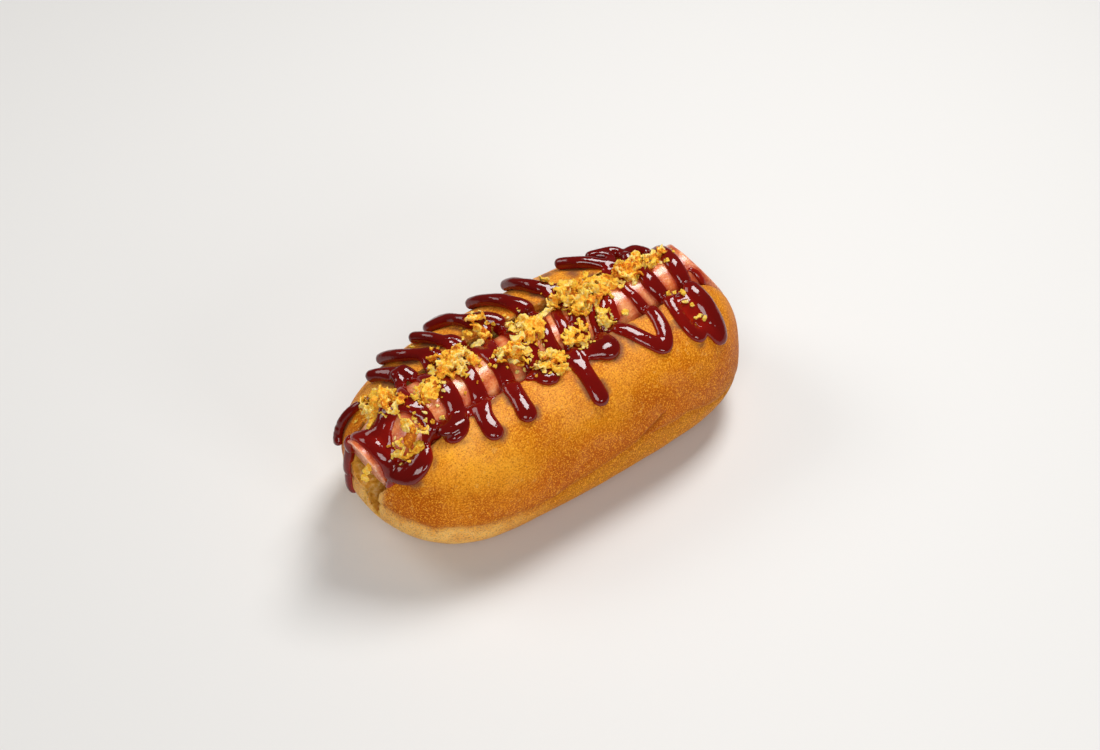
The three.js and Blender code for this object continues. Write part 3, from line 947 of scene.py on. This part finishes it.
def roughen(piece):
    """Runs the flakes of a heap together where they touch, and makes their surface crumbly."""
    shades = [kept.value for kept in piece.data.attributes["shade"].data]
    tree = KDTree(len(shades))
    for vert in piece.data.vertices:
        tree.insert(vert.co, vert.index)
    tree.balance()
    add_modifier(piece, "REMESH", mode="VOXEL", voxel_size=0.31 * MM)
    carry_out(piece)
    found = []
    bm = bmesh.new()
    bm.from_mesh(piece.data)
    bm.normal_update()
    for vert in bm.verts:
        found.append(shades[tree.find(vert.co)[1]])
        rough = noise.noise(vert.co / (0.9 * MM)) * 0.2 + noise.noise(vert.co / (0.4 * MM)) * 0.2
        vert.co += vert.normal * rough * MM
    bm.to_mesh(piece.data)
    bm.free()
    record(piece, "shade", found)


# Flakes that lie by themselves: place along and across the bun, half length, all in mm, and shade.
strays = [
    (-62.9, 15.3, 1.1, 0.05), (-55.8, 17.4, 1.6, 0.9), (-53.5, -2, 1.7, 0.5),
    (-48.9, -10.6, 1.1, 0.8), (-36, 24.6, 1.3, 0.6), (-21.8, 7, 2.1, 1), (-20.5, -3.4, 2.3, 0.9),
    (-11.4, -1, 2.5, 1), (-2.8, 5.1, 1.7, 0.9), (3.6, 4.8, 2.1, 1), (13.6, 18, 1.8, 0.7),
    (14.5, 4.9, 1.6, 0.8), (17, -1.6, 1.5, 0.8), (17.9, -8, 2.3, 1), (26.2, -2.3, 1.2, 0.7),
    (27.5, -8.2, 1.3, 0.6), (47.8, -13.6, 1.3, 0.5), (46.4, -16.6, 1.1, 0.8),
    (47.9, -18.6, 0.8, 0.5), (47.2, -22.6, 1.6, 0.8), (49.2, -23.6, 1.1, 0.6), (45.6, -12, 1, 0.6),
    (44.4, -10.4, 1.1, 0.5), (47.8, -10.4, 0.9, 0.7),
]
chip_room = 1.7 * MM * MM  # a clump has one chip for this much of half its length times half its width
chip_headroom = 3.4 * MM  # no chip lies this near a clump's top


def add_chips(crumbs, name, heaps):
    """Thin chips on a clump, clear of its very top."""
    middle, half, top = clump_room(name)
    for _ in range(round(half.x * half.y / chip_room)):
        angle = any_angle()
        off = 1.15 * rng.uniform(0, 1) ** 0.5
        under = dropped(heaps, *round_about(middle, half, angle, off))[0]
        facing = tipped(0.4, 0.8)
        if under.z > top - chip_headroom:
            continue
        length = rng.uniform(1.2, 2.4) * MM
        crumbs.add(thin_flakes, under + UP * 0.2 * MM, facing, length, rng.uniform(0.15, 0.9))


crumbs_a_clump = 22
lowest_crumb = 40 * MM  # a crumb that would come to lie lower is left out


def add_crumbs(crumbs, name, ground):
    """Small crumbs that fell beside a clump."""
    middle, half = clump_room(name)[:2]
    for _ in range(crumbs_a_clump):
        angle = any_angle()
        off = rng.uniform(0.9, 1.7)
        under, facing = dropped(ground, *round_about(middle, half, angle, off))
        if under is None or under.z < lowest_crumb:
            continue
        length = rng.uniform(0.3, 0.9) * MM
        crumbs.add(thick_flakes, under + facing * 0.2 * MM, facing, length, rng.random())


def onion_crumbs(names, ground, heaps):
    """The flakes that lie by themselves, and the chips and crumbs of each clump."""
    crumbs = Scraps()
    for x, y, length, shade in strays:
        under = dropped(ground, x * MM, y * MM)[0]
        crumbs.add(thick_flakes, under + UP * 0.5 * MM, tipped(0.5, 0.8), length * MM, shade)
    for name in names:
        add_chips(crumbs, name, heaps)
        add_crumbs(crumbs, name, ground)
    return crumbs.piece("onion_crumbs")


def onion_material():
    material, tree, shader, place = new_material(
        "fried_onion",
        Roughness=0.6,
        Specular_IOR_Level=0.2,
        Subsurface_Weight=0.4,
        Subsurface_Radius=(1.4 * MM, 0.9 * MM, 0.3 * MM),
        Subsurface_Scale=1.0,
    )
    mottle = spread(tree, grain(tree, place, 1.2 * MM, 4, 0.7), 0.3, 0.7, -0.45, 0.45)
    tone = ramp(tree, joined(tree, "ADD", recorded(tree, "shade"), mottle), [
        (0.0, srgb(196, 104, 18)),
        (0.12, srgb(238, 150, 32)),
        (0.4, srgb(255, 188, 52)),
        (0.75, srgb(255, 204, 84)),
        (1.0, srgb(255, 220, 136)),
    ])
    tree.links.new(tone, shader.inputs["Base Color"])
    bump(tree, shader, (grain(tree, place, 0.5 * MM, 3, 0.6), 0.16 * MM))
    return material


clump_names = sorted(name for name in frame["nodes"] if name.startswith("onion_clump"))
all_below = tree_of(bun, sausage, sauce)
heaped = Scraps()
cores = onion_clumps(heaped, clump_names, all_below)
for strip in (
    [(-62.5, 5, 51.5), (-66, 3.6, 50.5), (-68.6, 2, 49.5)],
    [(-73, -5, 42.4), (-74.3, -4.2, 38.8), (-74.9, -3.6, 35)],
):
    add_strip(heaped, strip, 1.8 * MM)
flakes = heaped.piece("onion_flakes")
roughen(flakes)
crumbs = onion_crumbs(clump_names, all_below, tree_of(bun, sausage, sauce, flakes))
fried = onion_material()
for piece in (cores, flakes, crumbs):
    piece.data.materials.append(fried)
    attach(piece, "root")
    piece.data.shade_smooth()
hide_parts(*clump_names)


# ---------- the table, the light and the camera ----------
# A plain pale table under four softboxes, the strongest overhead and behind the camera, with a
# weaker one behind on the left and a small one low in front. The camera looks down on the near end.

bm = bmesh.new()
bmesh.ops.create_grid(bm, x_segments=1, y_segments=1, size=3)
floor = piece_from(bm, "table")
floor.data.materials.append(
    new_material("pale_table", Base_Color=srgb(224, 222, 219), Roughness=0.6)[0]
)


def add_softbox(name, place, size, power):
    """A softbox that is turned to the middle of the food."""
    light = bpy.data.lights.new(name, "AREA")
    light.shape = "RECTANGLE"
    light.size, light.size_y = size
    light.energy = power
    lamp = bpy.data.objects.new(name, light)
    lamp.location = place
    aim = Vector((0, 0, 30 * MM)) - Vector(place)
    lamp.rotation_euler = aim.to_track_quat("-Z", "Y").to_euler()
    bpy.context.scene.collection.objects.link(lamp)


add_softbox("overhead", (0.33, 0.12, 0.68), (0.24, 0.36), 4.4)
add_softbox("back_left", (-0.45, 0.6, 0.7), (0.5, 0.4), 2.8)
add_softbox("behind_camera", (-0.5, -0.62, 0.75), (0.5, 0.36), 4)
add_softbox("front", (0.05, -0.75, 0.36), (0.26, 0.16), 1.2)

world = bpy.data.worlds.new("studio")
world.use_nodes = True
world.node_tree.nodes["Background"].inputs["Color"].default_value = (1, 0.99, 0.97, 1)
world.node_tree.nodes["Background"].inputs["Strength"].default_value = 0.09
scene = bpy.context.scene
scene.world = world
scene.view_settings.view_transform = "Standard"

azimuth = math.radians(-37.4)
elevation = math.radians(45)
distance = 0.8276
aim_right = 1.93 * MM  # the view is centred this far beside the origin
aim_up = 23.6 * MM  # and this far above it, as the camera sees it
back = Vector((
    math.sin(azimuth) * math.cos(elevation),
    -math.cos(azimuth) * math.cos(elevation),
    math.sin(elevation),
))
right = Vector((math.cos(azimuth), math.sin(azimuth), 0))
target = right * aim_right + back.cross(right) * aim_up
camera_data = bpy.data.cameras.new("camera")
camera_data.lens = 78.5
camera_data.sensor_width = 36
camera = bpy.data.objects.new("camera", camera_data)
camera.location = target + back * distance
camera.rotation_euler = back.to_track_quat("Z", "Y").to_euler()
scene.collection.objects.link(camera)
scene.camera = camera
